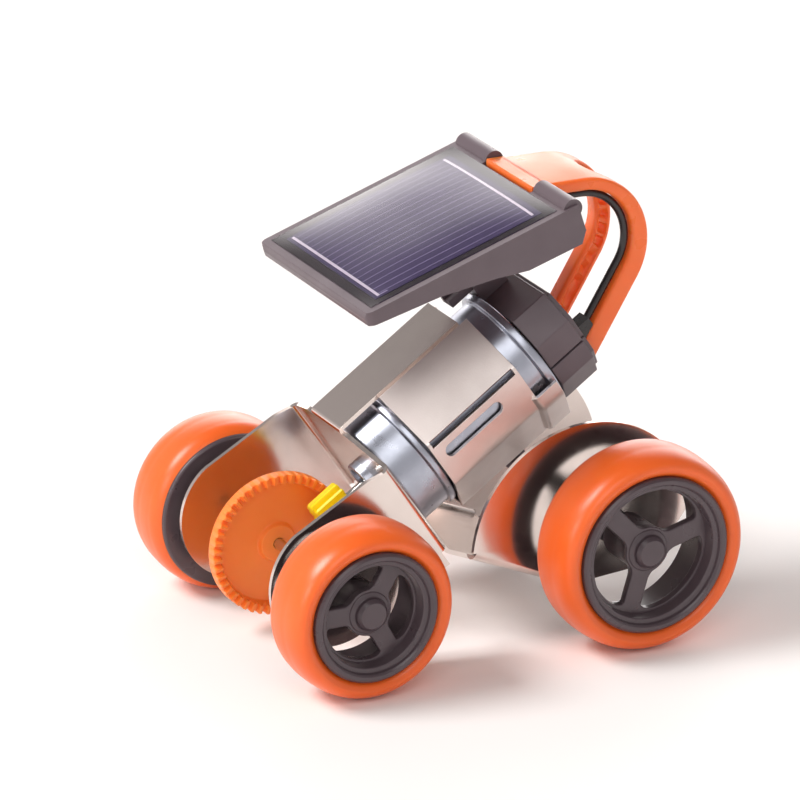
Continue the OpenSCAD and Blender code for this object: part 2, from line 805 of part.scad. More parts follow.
module cell_bus(x) {
    color("white") on_panel() translate([x, -seat_y + cell_inset + 0.6, cell_z + cell_t])
        cube([bus_w, 2 * (seat_y - cell_inset - 0.6), bus_t]);
}

module cell_bus_front() { cell_bus(seat_x1 - cell_inset - 1.2); }
module cell_bus_rear() { cell_bus(seat_x0 + cell_inset + 1.2); }

module hinge_pin() {
    color("silver") on_panel() bar(0, 0, pin_r, -panel_w / 2 + 1.3, panel_w / 2 - 1.3);
}

// ---------------------------------------------------------------- node switch

chassis_frame();
motor_clip();
motor_can();
motor_magnet_left();
motor_magnet_right();
motor_endbell();
motor_terminals();
terminal_block();
end_cap_upper();
end_cap_lower();
support_arm();
solar_lead();
strain_relief();
bush_front_left();
bush_front_right();
bush_rear_left();
bush_rear_right();
front_axle();
crown_gear();
front_hub_left();
front_hub_right();
front_tyre_left();
front_tyre_right();
rear_axle();
rear_hub_left();
rear_hub_right();
rear_tyre_left();
rear_tyre_right();
motor_shaft();
armature();
commutator();
pinion();
hinge_pin();
panel_frame();
panel_cover();
cell_board();
solar_cell();
cell_bus_front();
cell_bus_rear();
cell_dome();
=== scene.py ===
import json
import math

import bmesh
import bpy
import numpy as np
from mathutils import Matrix, Vector


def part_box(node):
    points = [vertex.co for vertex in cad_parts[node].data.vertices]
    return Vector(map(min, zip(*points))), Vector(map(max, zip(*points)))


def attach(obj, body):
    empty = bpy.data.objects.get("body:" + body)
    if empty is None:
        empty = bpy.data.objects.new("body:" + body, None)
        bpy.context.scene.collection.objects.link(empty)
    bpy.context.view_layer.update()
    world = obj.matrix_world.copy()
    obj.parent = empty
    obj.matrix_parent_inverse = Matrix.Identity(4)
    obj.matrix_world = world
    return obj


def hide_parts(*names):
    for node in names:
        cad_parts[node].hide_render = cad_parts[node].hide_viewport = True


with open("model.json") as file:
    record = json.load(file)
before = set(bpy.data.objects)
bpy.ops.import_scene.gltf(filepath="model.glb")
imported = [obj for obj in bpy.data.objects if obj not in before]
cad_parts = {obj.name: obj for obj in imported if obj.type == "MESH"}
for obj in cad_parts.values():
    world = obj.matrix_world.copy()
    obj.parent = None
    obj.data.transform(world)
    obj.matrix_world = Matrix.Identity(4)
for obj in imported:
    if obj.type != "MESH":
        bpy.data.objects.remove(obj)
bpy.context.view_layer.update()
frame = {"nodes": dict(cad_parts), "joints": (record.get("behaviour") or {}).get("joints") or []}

MM = 0.001
MICRON = 1e-6
SIDES = {"left": 1, "right": -1}
LEFT = np.array([0.0, 1.0, 0.0])


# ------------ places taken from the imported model

def box_mm(node):
    """Lowest and highest corners of a CAD node in millimetres."""
    low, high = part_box(node)
    return np.array(low) / MM, np.array(high) / MM


def joint(name):
    """A point on a joint's axis in millimetres, and the axis."""
    found = [j for j in frame["joints"] if j["name"] == name][0]
    return np.array(found["pos_m"]) / MM, np.array(found["axis"], float)


front_centre, _ = joint("front_axle_spin")
rear_centre, _ = joint("rear_axle_spin")
motor_origin, motor_back = joint("motor_spin")
motor_up = np.array([motor_back[2], 0, -motor_back[0]])
hinge, _ = joint("panel_tilt")
bus_gap = (box_mm("cell_bus_front")[0] + box_mm("cell_bus_front")[1]
           - box_mm("cell_bus_rear")[0] - box_mm("cell_bus_rear")[1]) / 2
panel_down = np.array([bus_gap[0], 0, bus_gap[2]]) / np.hypot(bus_gap[0], bus_gap[2])
panel_out = np.array([-panel_down[2], 0, panel_down[0]])
rear_x = rear_centre[0]


def on_motor(u, y, s):
    """Motor frame to row frame: u up from the axis, y to the left, s back along it from the front axle."""
    u, y, s = np.broadcast_arrays(u, y, s)
    return motor_origin + u[..., None] * motor_up + y[..., None] * LEFT + s[..., None] * motor_back


def on_panel(x, y, z):
    """Panel frame to row frame: x from the hinge down the slope, y to the left, z out of its face."""
    x, y, z = np.broadcast_arrays(x, y, z)
    return hinge + x[..., None] * panel_down + y[..., None] * LEFT + z[..., None] * panel_out


def on_side(x, y, z):
    """Side drawing to row frame: x ahead of the rear axle, z above the floor."""
    x, y, z = np.broadcast_arrays(x, y, z)
    return np.stack([x + rear_x, y, z], -1)


# ------------ shapes as arrays

def circle(n):
    """n angles in radians, evenly spaced round a full turn."""
    return 2 * math.pi * np.arange(n) / n


def rounded(corners, steps, closed=True):
    """Line through (x, y, radius) corners, each corner replaced by an arc tangent to both of its sides,
    which uses less than half of either."""
    points = np.array([c[:2] for c in corners], float)
    line = []
    for i, (x, y, radius) in enumerate(corners):
        if radius <= 0 or (not closed and i in (0, len(corners) - 1)):
            line.append([x, y])
            continue
        corner = points[i]
        back = points[i - 1] - corner
        ahead = points[(i + 1) % len(corners)] - corner
        back_len, ahead_len = np.linalg.norm(back), np.linalg.norm(ahead)
        back, ahead = back / back_len, ahead / ahead_len
        half = math.acos(np.clip(back @ ahead, -1, 1)) / 2
        reach = min(radius / math.tan(half), 0.49 * back_len, 0.49 * ahead_len)
        r = reach * math.tan(half)
        middle = corner + (back + ahead) / np.linalg.norm(back + ahead) * r / math.sin(half)
        first, last = corner + back * reach - middle, corner + ahead * reach - middle
        a0 = math.atan2(first[1], first[0])
        sweep = (math.atan2(last[1], last[0]) - a0 + math.pi) % (2 * math.pi) - math.pi
        turn = a0 + sweep * np.linspace(0, 1, steps + 1)
        line.extend((middle + r * np.stack([np.cos(turn), np.sin(turn)], -1)).tolist())
    return np.array(line)


def arc(cx, cy, r, a0, a1, steps):
    """Points of a circle's arc between two angles in degrees."""
    a = np.radians(np.linspace(a0, a1, steps))
    return np.stack([cx + r * np.cos(a), cy + r * np.sin(a)], -1)


def evenly(line, n):
    """The same line with n points spaced evenly along its length."""
    steps = np.linalg.norm(np.diff(line, axis=0), axis=1)
    run = np.concatenate([[0], np.cumsum(steps)])
    at = np.linspace(0, run[-1], n)
    return np.stack([np.interp(at, run, line[:, k]) for k in range(line.shape[1])], -1)


def grid(points, wrap_u=False, wrap_v=False, keep=None):
    """A surface P(u, v) given as an array of shape (nu, nv, 3), as its points and quads."""
    nu, nv = points.shape[:2]
    i, j = np.meshgrid(np.arange(nu if wrap_u else nu - 1), np.arange(nv if wrap_v else nv - 1),
                       indexing="ij")
    i2, j2 = (i + 1) % nu, (j + 1) % nv
    quads = np.stack([i * nv + j, i2 * nv + j, i2 * nv + j2, i * nv + j2], -1)
    if keep is not None:
        quads = quads[keep]
    return points.reshape(-1, 3), quads.reshape(-1, 4).tolist()


def turned(profile, centre, side, steps=120, closed=True):
    """Profile (radius, way out along the axle) turned round an axle through centre, along +-Y."""
    a = circle(steps)[:, None]
    r, w = profile[:, 0][None], profile[:, 1][None]
    return grid(np.stack([centre[0] + r * np.cos(a), side * w + 0 * a, centre[2] + r * np.sin(a)], -1),
                wrap_u=True, wrap_v=closed)


def turned_on_motor(profile, steps):
    """Profile (radius, s) turned round the motor axis."""
    a = circle(steps)[:, None]
    r, s = profile[:, 0][None], profile[:, 1][None]
    return grid(on_motor(r * np.cos(a), r * np.sin(a), s + 0 * a), wrap_u=True, wrap_v=True)


def slab(outline, low, high, place):
    """A closed outline raised between two heights: one wall and two flat ends."""
    n = len(outline)
    ends = [place(outline[:, 0], outline[:, 1], np.full(n, h)) for h in (low, high)]
    points, quads = grid(np.stack(ends), wrap_v=True)
    return points, quads + [list(range(n)), list(range(2 * n - 1, n - 1, -1))]


WELD = 2e-6          # metres: points closer than this become one
TINY_EDGE = 1e-7     # metres: shorter edges are dissolved
FLAT_DEG = 0.6       # faces of a CAD node that turn less than this become one flat face
SOFT_EDGE_DEG = 35   # edges of a softened CAD node that turn less than this are shaded smooth
ROUND_STEPS = 3      # segments of every rounded edge


def give_finish(mesh, material):
    """One finish for the whole mesh."""
    mesh.materials.clear()
    mesh.materials.append(material)


def show(name, mesh, sharp):
    """Shades the mesh smooth up to edges of so many degrees and puts it in the scene."""
    mesh.shade_smooth()
    mesh.set_sharp_from_angle(angle=math.radians(sharp))
    piece = bpy.data.objects.new(name, mesh)
    bpy.context.scene.collection.objects.link(piece)
    return piece


def make_piece(name, parts, material, body, stands_for=(), sharp=35):
    """Joins (points, faces) parts in millimetres into one smooth shaded piece that rides on a body."""
    points, faces = [], []
    for part_points, part_faces in parts:
        first = sum(len(p) for p in points)
        points.append(part_points)
        faces.extend([[k + first for k in f] for f in part_faces])
    mesh = bpy.data.meshes.new(name)
    mesh.from_pydata((np.concatenate(points) * MM).tolist(), [], faces)
    work = bmesh.new()
    work.from_mesh(mesh)
    bmesh.ops.remove_doubles(work, verts=work.verts, dist=WELD)
    bmesh.ops.dissolve_degenerate(work, edges=work.edges, dist=TINY_EDGE)
    bmesh.ops.recalc_face_normals(work, faces=work.faces)
    work.to_mesh(mesh)
    work.free()
    piece = show(name, mesh, sharp)
    give_finish(mesh, material)
    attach(piece, body)
    if stands_for:
        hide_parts(*stands_for)
    return piece


def bevelled(piece, width, angle=30):
    """Rounds every edge sharper than the angle, width in millimetres."""
    bevel = piece.modifiers.new("edge_round", "BEVEL")
    bevel.width = width * MM
    bevel.segments = ROUND_STEPS
    bevel.limit_method = "ANGLE"
    bevel.angle_limit = math.radians(angle)
    bevel.harden_normals = True
    return piece


def sheet_metal(piece, thickness):
    """Gives a middle surface the thickness of the sheet, half to each side."""
    solid = piece.modifiers.new("thickness", "SOLIDIFY")
    solid.thickness = thickness * MM
    solid.offset = 0
    return piece


def softened(node, name, material, body, width):
    """A merged copy of a CAD node with flat faces joined and its edges rounded, shown in its place."""
    mesh = frame["nodes"][node].data.copy()
    give_finish(mesh, material)
    work = bmesh.new()
    work.from_mesh(mesh)
    bmesh.ops.remove_doubles(work, verts=work.verts, dist=WELD)
    bmesh.ops.dissolve_limit(work, angle_limit=math.radians(FLAT_DEG), verts=work.verts,
                             edges=work.edges)
    work.to_mesh(mesh)
    work.free()
    if "custom_normal" in mesh.attributes:
        mesh.attributes.remove(mesh.attributes["custom_normal"])
    piece = show(name, mesh, SOFT_EDGE_DEG)
    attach(piece, body)
    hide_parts(node)
    return bevelled(piece, width)


# ------------ materials

def linear(code):
    """An sRGB hex colour as linear RGBA."""
    parts = [int(code[k:k + 2], 16) / 255 for k in (1, 3, 5)]
    return [c / 12.92 if c <= 0.04045 else ((c + 0.055) / 1.055) ** 2.4 for c in parts] + [1.0]


def add(tree, kind, props=(), inputs=()):
    """Adds one shader node with its settings, and values or links for its inputs."""
    node = tree.nodes.new("ShaderNode" + kind)
    for key, value in dict(props).items():
        setattr(node, key, value)
    for key, value in dict(inputs).items():
        if isinstance(value, bpy.types.NodeSocket):
            tree.links.new(value, node.inputs[key])
        else:
            node.inputs[key].default_value = value
    return node


def new_finish(name):
    """An empty material, its node tree, and the place of each point on its own piece."""
    material = bpy.data.materials.new(name)
    material.use_nodes = True
    tree = material.node_tree
    tree.nodes.clear()
    return material, tree, add(tree, "TexCoord").outputs["Object"]


def surface(name, colour, other, mottle_mm, rough, grain_mm, grain_um, **settings):
    """A finish whose colour drifts between two hex colours over mottle_mm, whose roughness drifts
    between two values, and whose surface has a grain of that size and height in micrometres."""
    material, tree, place = new_finish(name)
    mottle = add(tree, "TexNoise", inputs={"Vector": place, "Scale": 1 / (mottle_mm * MM), "Detail": 3})
    tint = add(tree, "Mix", {"data_type": "RGBA"}, {0: mottle.outputs["Fac"], 6: linear(colour),
                                                    7: linear(other)})
    drift = add(tree, "MapRange", inputs={"Value": mottle.outputs["Fac"], "From Min": 0.3, "From Max": 0.7,
                                          "To Min": rough[0], "To Max": rough[1]})
    grain = add(tree, "TexNoise", inputs={"Vector": place, "Scale": 1 / (grain_mm * MM), "Detail": 2})
    bump = add(tree, "Bump", inputs={"Strength": 1.0, "Distance": grain_um * MICRON,
                                     "Height": grain.outputs["Fac"]})
    shader = add(tree, "BsdfPrincipled", inputs={"Base Color": tint.outputs[2],
                                                 "Roughness": drift.outputs[0],
                                                 "Normal": bump.outputs[0], **settings})
    add(tree, "OutputMaterial", inputs={"Surface": shader.outputs[0]})
    return material


def nickel_sheet():
    """Nickel plated steel sheet, rolled and bent: blurred mirror with a fine satin grain of 0.2 mm."""
    return surface("nickel_plated_sheet", "#E2D7D1", "#D3C7C1", 6, (0.15, 0.2), 0.22, 5, Metallic=1.0)


def satin_nickel():
    """The same sheet before polishing: the grain scatters the light, so flats look evenly bright."""
    return surface("satin_nickel_sheet", "#E3DAD6", "#D3C8C4", 5, (0.34, 0.4), 0.3, 14, Metallic=1.0)


def motor_steel():
    """Zinc plated drawn steel: cooler and brighter, with fine drawing lines round the can."""
    return surface("zinc_plated_can", "#B4B8C4", "#9EA2AE", 3, (0.26, 0.34), 0.25, 6, Metallic=1.0)


def ground_rod():
    """Ground steel rod: bright, with very fine turning marks."""
    return surface("ground_steel_rod", "#D5D3D0", "#C4C1BD", 2, (0.1, 0.18), 0.15, 2, Metallic=1.0)


def grey_abs():
    """Moulded ABS in dark warm grey: satin, with a soft spark eroded texture of 0.15 mm."""
    return surface("grey_moulded_abs", "#63565C", "#584B51", 5, (0.34, 0.42), 0.15, 6)


def wheel_abs():
    """The same moulding in the wheels' darker tone, a little glossier."""
    return surface("dark_moulded_abs", "#53464B", "#493D42", 5, (0.26, 0.34), 0.15, 4)


def orange_tyre():
    """Soft moulded elastomer: deep even orange, satin, light soaks a millimetre into it."""
    return surface("orange_elastomer", "#EC6824", "#E66020", 9, (0.3, 0.38), 0.3, 5,
                   **{"Subsurface Weight": 0.25, "Subsurface Radius": (1.0, 0.35, 0.12),
                      "Subsurface Scale": 1.2 * MM})


def orange_clear_plastic():
    """Moulded polypropylene, slightly see-through: glossy with light glowing inside thin edges."""
    return surface("orange_polypropylene", "#F37632", "#EF6C2A", 6, (0.26, 0.36), 0.5, 8,
                   **{"Subsurface Weight": 0.55, "Subsurface Radius": (1.0, 0.4, 0.15),
                      "Subsurface Scale": 2.0 * MM})


def gear_orange_painted_light():
    """Moulded orange plastic of the crown gear, waxy; its colour is painted lighter and brighter than the
    arm's orange, as painted light for a gear that sits in shade.
    """
    return surface("gear_orange_painted_light", "#FF8B3A", "#FB8030", 6, (0.32, 0.4), 0.3, 5,
                   **{"Subsurface Weight": 0.4, "Subsurface Radius": (1.0, 0.4, 0.15),
                      "Subsurface Scale": 1.5 * MM})


def yellow_acetal():
    """Moulded acetal: clean bright yellow, waxy."""
    return surface("yellow_acetal", "#F4DC1E", "#EFCF12", 3, (0.35, 0.42), 0.3, 5,
                   **{"Subsurface Weight": 0.3, "Subsurface Radius": (1.0, 0.8, 0.1),
                      "Subsurface Scale": 0.8 * MM})


def black_pvc():
    """Extruded PVC sleeve of the lead: black, smooth, soft highlight along it."""
    return surface("black_pvc_sleeve", "#2A2425", "#1D191A", 4, (0.2, 0.28), 0.4, 5)


def board_black():
    """Black solder mask on a fibre glass board."""
    return surface("black_solder_mask", "#2B2527", "#211C1E", 4, (0.3, 0.4), 0.2, 3)


def silicon_cell():
    """Silicon wafer with its blue violet coating: even, softly glossy, the tone drifts a little."""
    return surface("coated_silicon", "#2B2442", "#372C50", 14, (0.28, 0.36), 0.1, 2,
                   **{"Specular IOR Level": 0.7})


def silver_print():
    """Screen printed silver paste of the bus lines: dull and pale."""
    return surface("printed_silver", "#DCD6DC", "#CFC8D0", 2, (0.4, 0.5), 0.1, 3, Metallic=0.6)


def thin_print():
    """Hair thin silver lines, greyed by the coating they sink into."""
    return surface("thin_silver_print", "#8F86A2", "#7E7592", 2, (0.4, 0.5), 0.1, 3)


def copper_and_steel():
    """Varnished windings over laminations."""
    return surface("varnished_windings", "#9C5A34", "#7C4226", 1.2, (0.3, 0.45), 0.3, 20, Metallic=0.8)


def ferrite():
    """Sintered ferrite magnet: dark, matt, fine pores."""
    return surface("sintered_ferrite", "#35343A", "#2A2A2E", 1.5, (0.6, 0.75), 0.2, 15)


def ivory_nylon():
    """Moulded nylon end bell."""
    return surface("ivory_nylon", "#E9E3D2", "#DFD8C4", 4, (0.4, 0.5), 0.3, 6)


def brass_strip():
    """Stamped brass contact strip."""
    return surface("brass_strip", "#D8B36A", "#C9A055", 2, (0.22, 0.32), 0.2, 4, Metallic=1.0)


def clear_resin():
    """Clear epoxy poured over the cell: glassy and faintly smoky, with a slow wave 7 mm long where it
    set. Light on its way to the cell goes straight through."""
    wave_mm, wave_um = 7, 20
    material, tree, place = new_finish("clear_epoxy")
    wave = add(tree, "TexNoise", inputs={"Vector": place, "Scale": 1 / (wave_mm * MM), "Detail": 1})
    bump = add(tree, "Bump", inputs={"Strength": 1.0, "Distance": wave_um * MICRON,
                                     "Height": wave.outputs["Fac"]})
    glass = add(tree, "BsdfPrincipled", inputs={"Base Color": linear("#F4F0F6"), "Roughness": 0.03,
                                                "IOR": 1.5, "Transmission Weight": 1.0,
                                                "Normal": bump.outputs[0]})
    through = add(tree, "BsdfTransparent", inputs={"Color": linear("#E9E4EC")})
    lamp_ray = add(tree, "LightPath").outputs["Is Shadow Ray"]
    both = add(tree, "MixShader", inputs={0: lamp_ray, 1: glass.outputs[0], 2: through.outputs[0]})
    add(tree, "OutputMaterial", inputs={"Surface": both.outputs[0]})
    return material


def studio_floor():
    """Matt white paper sweep."""
    return surface("white_paper", "#F7F5F3", "#F4F2F0", 60, (0.9, 1.0), 0.6, 10)


NICKEL, SATIN, CAN, ROD = nickel_sheet(), satin_nickel(), motor_steel(), ground_rod()
ABS, WHEEL, FINGER, GEAR = grey_abs(), wheel_abs(), thin_print(), gear_orange_painted_light()
TYRE, ORANGE, YELLOW, PVC = orange_tyre(), orange_clear_plastic(), yellow_acetal(), black_pvc()
BOARD, SILICON, SILVER, RESIN = board_black(), silicon_cell(), silver_print(), clear_resin()
WINDING, FERRITE, NYLON, BRASS = copper_and_steel(), ferrite(), ivory_nylon(), brass_strip()

NODE_FINISH = {
    "motor_magnet_left": FERRITE, "motor_magnet_right": FERRITE, "motor_endbell": NYLON,
    "motor_terminals": BRASS, "bush_front_left": ABS, "bush_front_right": ABS,
    "bush_rear_left": ABS, "bush_rear_right": ABS, "front_axle": ROD, "rear_axle": ROD,
    "motor_shaft": ROD, "armature": WINDING, "commutator": BRASS, "hinge_pin": ROD,
    "panel_cover": ABS, "cell_board": BOARD, "solar_cell": SILICON, "cell_bus_front": SILVER,
    "cell_bus_rear": SILVER,
}


def finish_cad_nodes():
    """The nodes that are shown as they are get their own finish."""
    for node, material in NODE_FINISH.items():
        give_finish(frame["nodes"][node].data, material)


# ------------ wheels

TYRE_W = 12.6
FLANGE_OUT, FLANGE_T, FLANGE_IN = 2.5, 1.3, 0.3   # beyond the rim, thick, and in from the tyre's back
WEB_FRONT, WEB_BACK = 3.2, 4.8                    # how far the web lies in from the outer face
GAP = 0.03                                        # between the tyre and the flange it rests on
WHEELS = {
    "front": {"body": "front_axle_set", "centre": front_centre, "spoke": 0},
    "rear": {"body": "rear_axle_set", "centre": rear_centre, "spoke": 45},
}


def tyre_profile(out_r, rim_r, face):
    """Closed section (radius, y): side wall with a fine crest, elliptical shoulder, slightly crowned
    tread, and an inner shoulder that stops at the rim's flange."""
    crest = rim_r + 0.42 * (out_r - rim_r)
    inner = face - TYRE_W
    shoulder_w, back_w, crown, fullness = 5.0, 3.9, 0.12, 0.95
    a = np.radians(np.linspace(90, 0, 16))
    outer = np.stack([crest + (out_r - crown - crest) * np.cos(a),
                      face - shoulder_w + shoulder_w * np.sin(a) ** fullness], -1)
    tread_w = np.linspace(face - shoulder_w, inner + back_w, 8)[1:-1]
    bulge = 1 - ((tread_w - tread_w.mean()) / (np.ptp(tread_w) / 2 + 0.8)) ** 2
    tread = np.stack([out_r - crown + crown * bulge, tread_w], -1)
    flange_r, flange_w = rim_r + FLANGE_OUT + GAP, inner + FLANGE_IN + FLANGE_T + GAP
    back_turn = math.degrees(math.acos((flange_r - (out_r - crown - back_w)) / back_w))
    back = arc(out_r - crown - back_w, inner + back_w, back_w, 0, -back_turn, 12)
    seat = np.array([[flange_r, flange_w], [rim_r + 0.02, flange_w], [rim_r + 0.02, face - 1.2],
                     [rim_r + 0.3, face - 1.05], [rim_r + 0.5, face - 0.55], [crest - 0.7, face - 0.28],
                     [crest - 0.3, face - 0.08], [crest - 0.12, face]])
    return np.concatenate([outer, tread, back, seat])


def tyre(axle, side):
    """Tyre section turned round the axle."""
    wheel = WHEELS[axle]
    node = f"{axle}_tyre_{side}"
    low, high = box_mm(node)
    rim_r = (box_mm(f"{axle}_hub_{side}")[1] - wheel["centre"])[2] - FLANGE_OUT
    profile = tyre_profile((high - low)[2] / 2, rim_r, max(abs(low[1]), abs(high[1])))
    part = turned(profile, wheel["centre"], SIDES[side], steps=144)
    make_piece(f"{axle}_soft_tyre_{side}", [part], TYRE, wheel["body"], [node], sharp=50)


def rim_profile(rim_r, face):
    """Closed section (radius, y) of the rim: inner flange, barrel, rounded lip, shallow ledge, cone."""
    back = face - TYRE_W + FLANGE_IN
    web_front, web_back = face - WEB_FRONT, face - WEB_BACK
    return rounded([
        (rim_r + FLANGE_OUT, back, 0.5), (rim_r + FLANGE_OUT, back + FLANGE_T, 0.2),
        (rim_r, back + FLANGE_T, 0), (rim_r, face - 0.45, 0.15), (rim_r - 0.45, face, 0.3),
        (rim_r - 1.15, face, 0.25), (rim_r - 1.5, face - 0.35, 0.2), (rim_r - 1.6, face - 0.95, 0.2),
        (rim_r - 2.45, face - 1.05, 0.3), (rim_r - 2.75, web_front - 0.05, 0.3),
        (rim_r - 3.0, web_front - 0.05, 0),
        (rim_r - 3.0, web_back, 0), (rim_r - 1.5, web_back, 0.3), (rim_r - 1.4, back, 0.2)], 4)


def boss_profile(face):
    """Closed section of the boss with its chamfered cap; it closes on the axis."""
    back = face - TYRE_W + 0.9
    return rounded([
        (0, back, 0), (4.15, back, 0.3), (4.15, face - 4.0, 0), (3.8, face - 3.0, 0.4),
        (2.95, face - 2.75, 0.35), (2.9, face - 2.1, 0.1), (2.35, face - 1.42, 0.15),
        (0, face - 1.4, 0)], 4)


def web_sector(rim_r, face, spoke_deg, centre, side):
    """A third of the web as a ring round its opening. The opening is a unit square with round corners
    mapped to radius and angle, its sides parallel to the spokes; it is ruled to the sector's border."""
    spoke_half, fillet, corner, around = 1.8, 0.3, 0.32, 72
    open_in, open_out = 4.3, rim_r - 3.2
    sector_in, sector_out = 3.7, rim_r - 2.7
    front, back = face - WEB_FRONT, face - WEB_BACK
    square = rounded([(1, -1, corner), (1, 1, corner), (-1, 1, corner), (-1, -1, corner)], 6)
    square = evenly(np.concatenate([square, square[:1]]), around + 1)[:-1]
    a, b = square[:, 0], square[:, 1]
    stretch = 1 / np.maximum(abs(a), abs(b))
    r_open = (open_in + open_out) / 2 + a * (open_out - open_in) / 2
    t_open = b * (math.pi / 3 - np.arcsin(spoke_half / r_open))
    r_edge = (sector_in + sector_out) / 2 + a * stretch * (sector_out - sector_in) / 2
    t_edge = b * stretch * math.pi / 3
    opening = np.stack([r_open * np.cos(t_open), r_open * np.sin(t_open)], -1)
    border = np.stack([r_edge * np.cos(t_edge), r_edge * np.sin(t_edge)], -1)
    away = border - opening
    away /= np.linalg.norm(away, axis=1)[:, None]
    q = np.radians(np.linspace(90, 0, 5))
    rows = [(border, front)]
    rows += [(opening + away * fillet * (1 - np.cos(k)), front - fillet * (1 - np.sin(k))) for k in q]
    rows += [(opening + away * fillet * (1 - np.cos(k)), back + fillet * (1 - np.sin(k))) for k in q[::-1]]
    rows += [(border, back)]
    turn = math.radians(spoke_deg + 60)
    c, s = math.cos(turn), math.sin(turn)
    points = np.stack([np.stack([centre[0] + p[:, 0] * c - p[:, 1] * s, np.full(len(p), side * y),
                                 centre[2] + p[:, 0] * s + p[:, 1] * c], -1) for p, y in rows])
    at_arc = abs(a * stretch) > 0.999
    keep = np.ones((len(rows), len(a)), bool)
    keep[-1] = at_arc & np.roll(at_arc, -1)
    return grid(points, wrap_u=True, wrap_v=True, keep=keep)


def hub(axle, side):
    """Rim, three spoked web and boss of one wheel."""
    wheel = WHEELS[axle]
    node = f"{axle}_hub_{side}"
    low, high = box_mm(node)
    rim_r = (high - wheel["centre"])[2] - FLANGE_OUT
    face = max(abs(low[1]), abs(high[1]))
    sign = SIDES[side]
    parts = [turned(rim_profile(rim_r, face), wheel["centre"], sign),
             turned(boss_profile(face), wheel["centre"], sign, steps=72, closed=False)]
    for third in range(3):
        parts.append(web_sector(rim_r, face, wheel["spoke"] + 120 * third, wheel["centre"], sign))
    make_piece(f"{axle}_wheel_{side}", parts, WHEEL, wheel["body"], [node], sharp=28)


# ------------ gears

def crown_gear():
    """Disc turned round the axle; on the tooth ring the height follows a rounded square wave of the
    angle, and the same wave scallops the rim."""
    low, high = box_mm("crown_gear")
    teeth, tooth_h, scallop, bore_r = 48, 0.85, 0.25, 1.05
    out_r = (high - low)[2] / 2
    tip, back = high[1], low[1]
    root = tip - tooth_h
    contact = math.atan2(motor_back[2], motor_back[0])
    a = circle(teeth * 12)[:, None]
    wave = np.clip(0.5 + 1.1 * np.cos(teeth * (a - contact)), 0, 1)
    profile = rounded([
        (bore_r, back + 0.2, 0), (bore_r, back, 0), (3.4, back, 0.3), (out_r - 1.8, back + 0.1, 0.2),
        (out_r - 1.3, back + 0.5, 0.3), (out_r - 1.2, root - 1.7, 0.3), (out_r, root - 1.6, 0.3),
        (out_r, root - 0.1, 0), (out_r - 0.15, root, 0), (out_r - 1.55, root, 0),
        (out_r - 1.75, root - 0.1, 0), (out_r - 2.0, root - 1.0, 0.25), (3.6, root - 1.0, 0.3),
        (3.3, root, 0.2), (bore_r, root, 0)], 3)
    r, w = profile[:, 0][None], profile[:, 1][None]
    on_ring = (r > out_r - 1.6) & (w > root - 0.12)
    w = w + on_ring * wave * (tip - root)
    r = r - (r > out_r - 0.2) * (w > root - 0.2) * (1 - wave) * scallop
    points = np.stack([front_centre[0] + r * np.cos(a), w + 0 * a, front_centre[2] + r * np.sin(a)], -1)
    make_piece("drive_crown_gear", [grid(points, wrap_u=True, wrap_v=True)], GEAR, "front_axle_set",
               ["crown_gear"], sharp=30)


PINION_S = (7.6, 13.8)   # both ends along the motor axis


def pinion():
    """Radius follows a rounded tooth wave of the angle, the same at every station, with small end
    chamfers; the bore fits the shaft."""
    teeth, tip_r, root_r, bore_r, chamfer = 14, 4.0, 2.85, 1.02, 0.25
    a = circle(teeth * 16)
    wave = np.clip(0.5 + 0.95 * np.cos(teeth * (a - math.pi / 2) + math.pi), 0, 1)
    rim = root_r + (tip_r - root_r) * wave
    front, rear = PINION_S
    stations = [(bore_r + 0 * a, front), (rim - chamfer, front), (rim, front + chamfer),
                (rim, rear - chamfer), (rim - chamfer, rear), (bore_r + 0 * a, rear)]
    rows = np.stack([on_motor(r * np.cos(a), r * np.sin(a), s) for r, s in stations])
    make_piece("drive_pinion", [grid(rows, wrap_u=True, wrap_v=True)], YELLOW, "motor_rotor",
               ["pinion"])


# ------------ chassis sheet

SHEET = 0.8                # thickness
SHEET_EDGE = 0.12          # rounding of its cut edges
CHEEK_Y = 17.2             # middle of a cheek's thickness
BEND = 1.2                 # radius of the cheeks' bends
WEB_S, WEB_LOW_U = 19.6, -9.5
TONGUE_U, TONGUE_Y, TONGUE_REAR_S = 13.6, (-8.0, 2.6), 47.4
TONGUE_BEND = 0.8          # radius
SPREAD = 1.5               # the web's top slopes down over this width beside the tongue
FLOOR_FRONT, FLOOR_REAR = (27.0, 16.22), (8.0, 8.47)   # side drawing points


def motor_xz(u, s):
    """A point of the motor's middle plane as the row frame's (x, z)."""
    return on_motor(np.asarray(u, float), 0.0, np.asarray(s, float))[..., [0, 2]]


def side_xz(points):
    """Side drawing points (ahead of the rear axle, above the floor) as the row frame's (x, z)."""
    return np.asarray(points, float) + [rear_x, 0]


def across():
    """Y stations over the flat width, with lines along both sides of the tongue."""
    stops = [BEND - CHEEK_Y, TONGUE_Y[0] - SPREAD, TONGUE_Y[0], TONGUE_Y[1], TONGUE_Y[1] + SPREAD,
             CHEEK_Y - BEND]
    runs = [np.linspace(a, b, n + 1)[:-1] for a, b, n in zip(stops[:-1], stops[1:], (5, 2, 8, 2, 8))]
    return np.concatenate(runs + [stops[-1:]])


def strip(rows, ys):
    """Side lines, one (n, 2) array of row frame (x, z) for each y, as a surface."""
    return np.stack([np.stack([p[:, 0], np.full(len(p), y), p[:, 1]], -1) for p, y in zip(rows, ys)], 1)


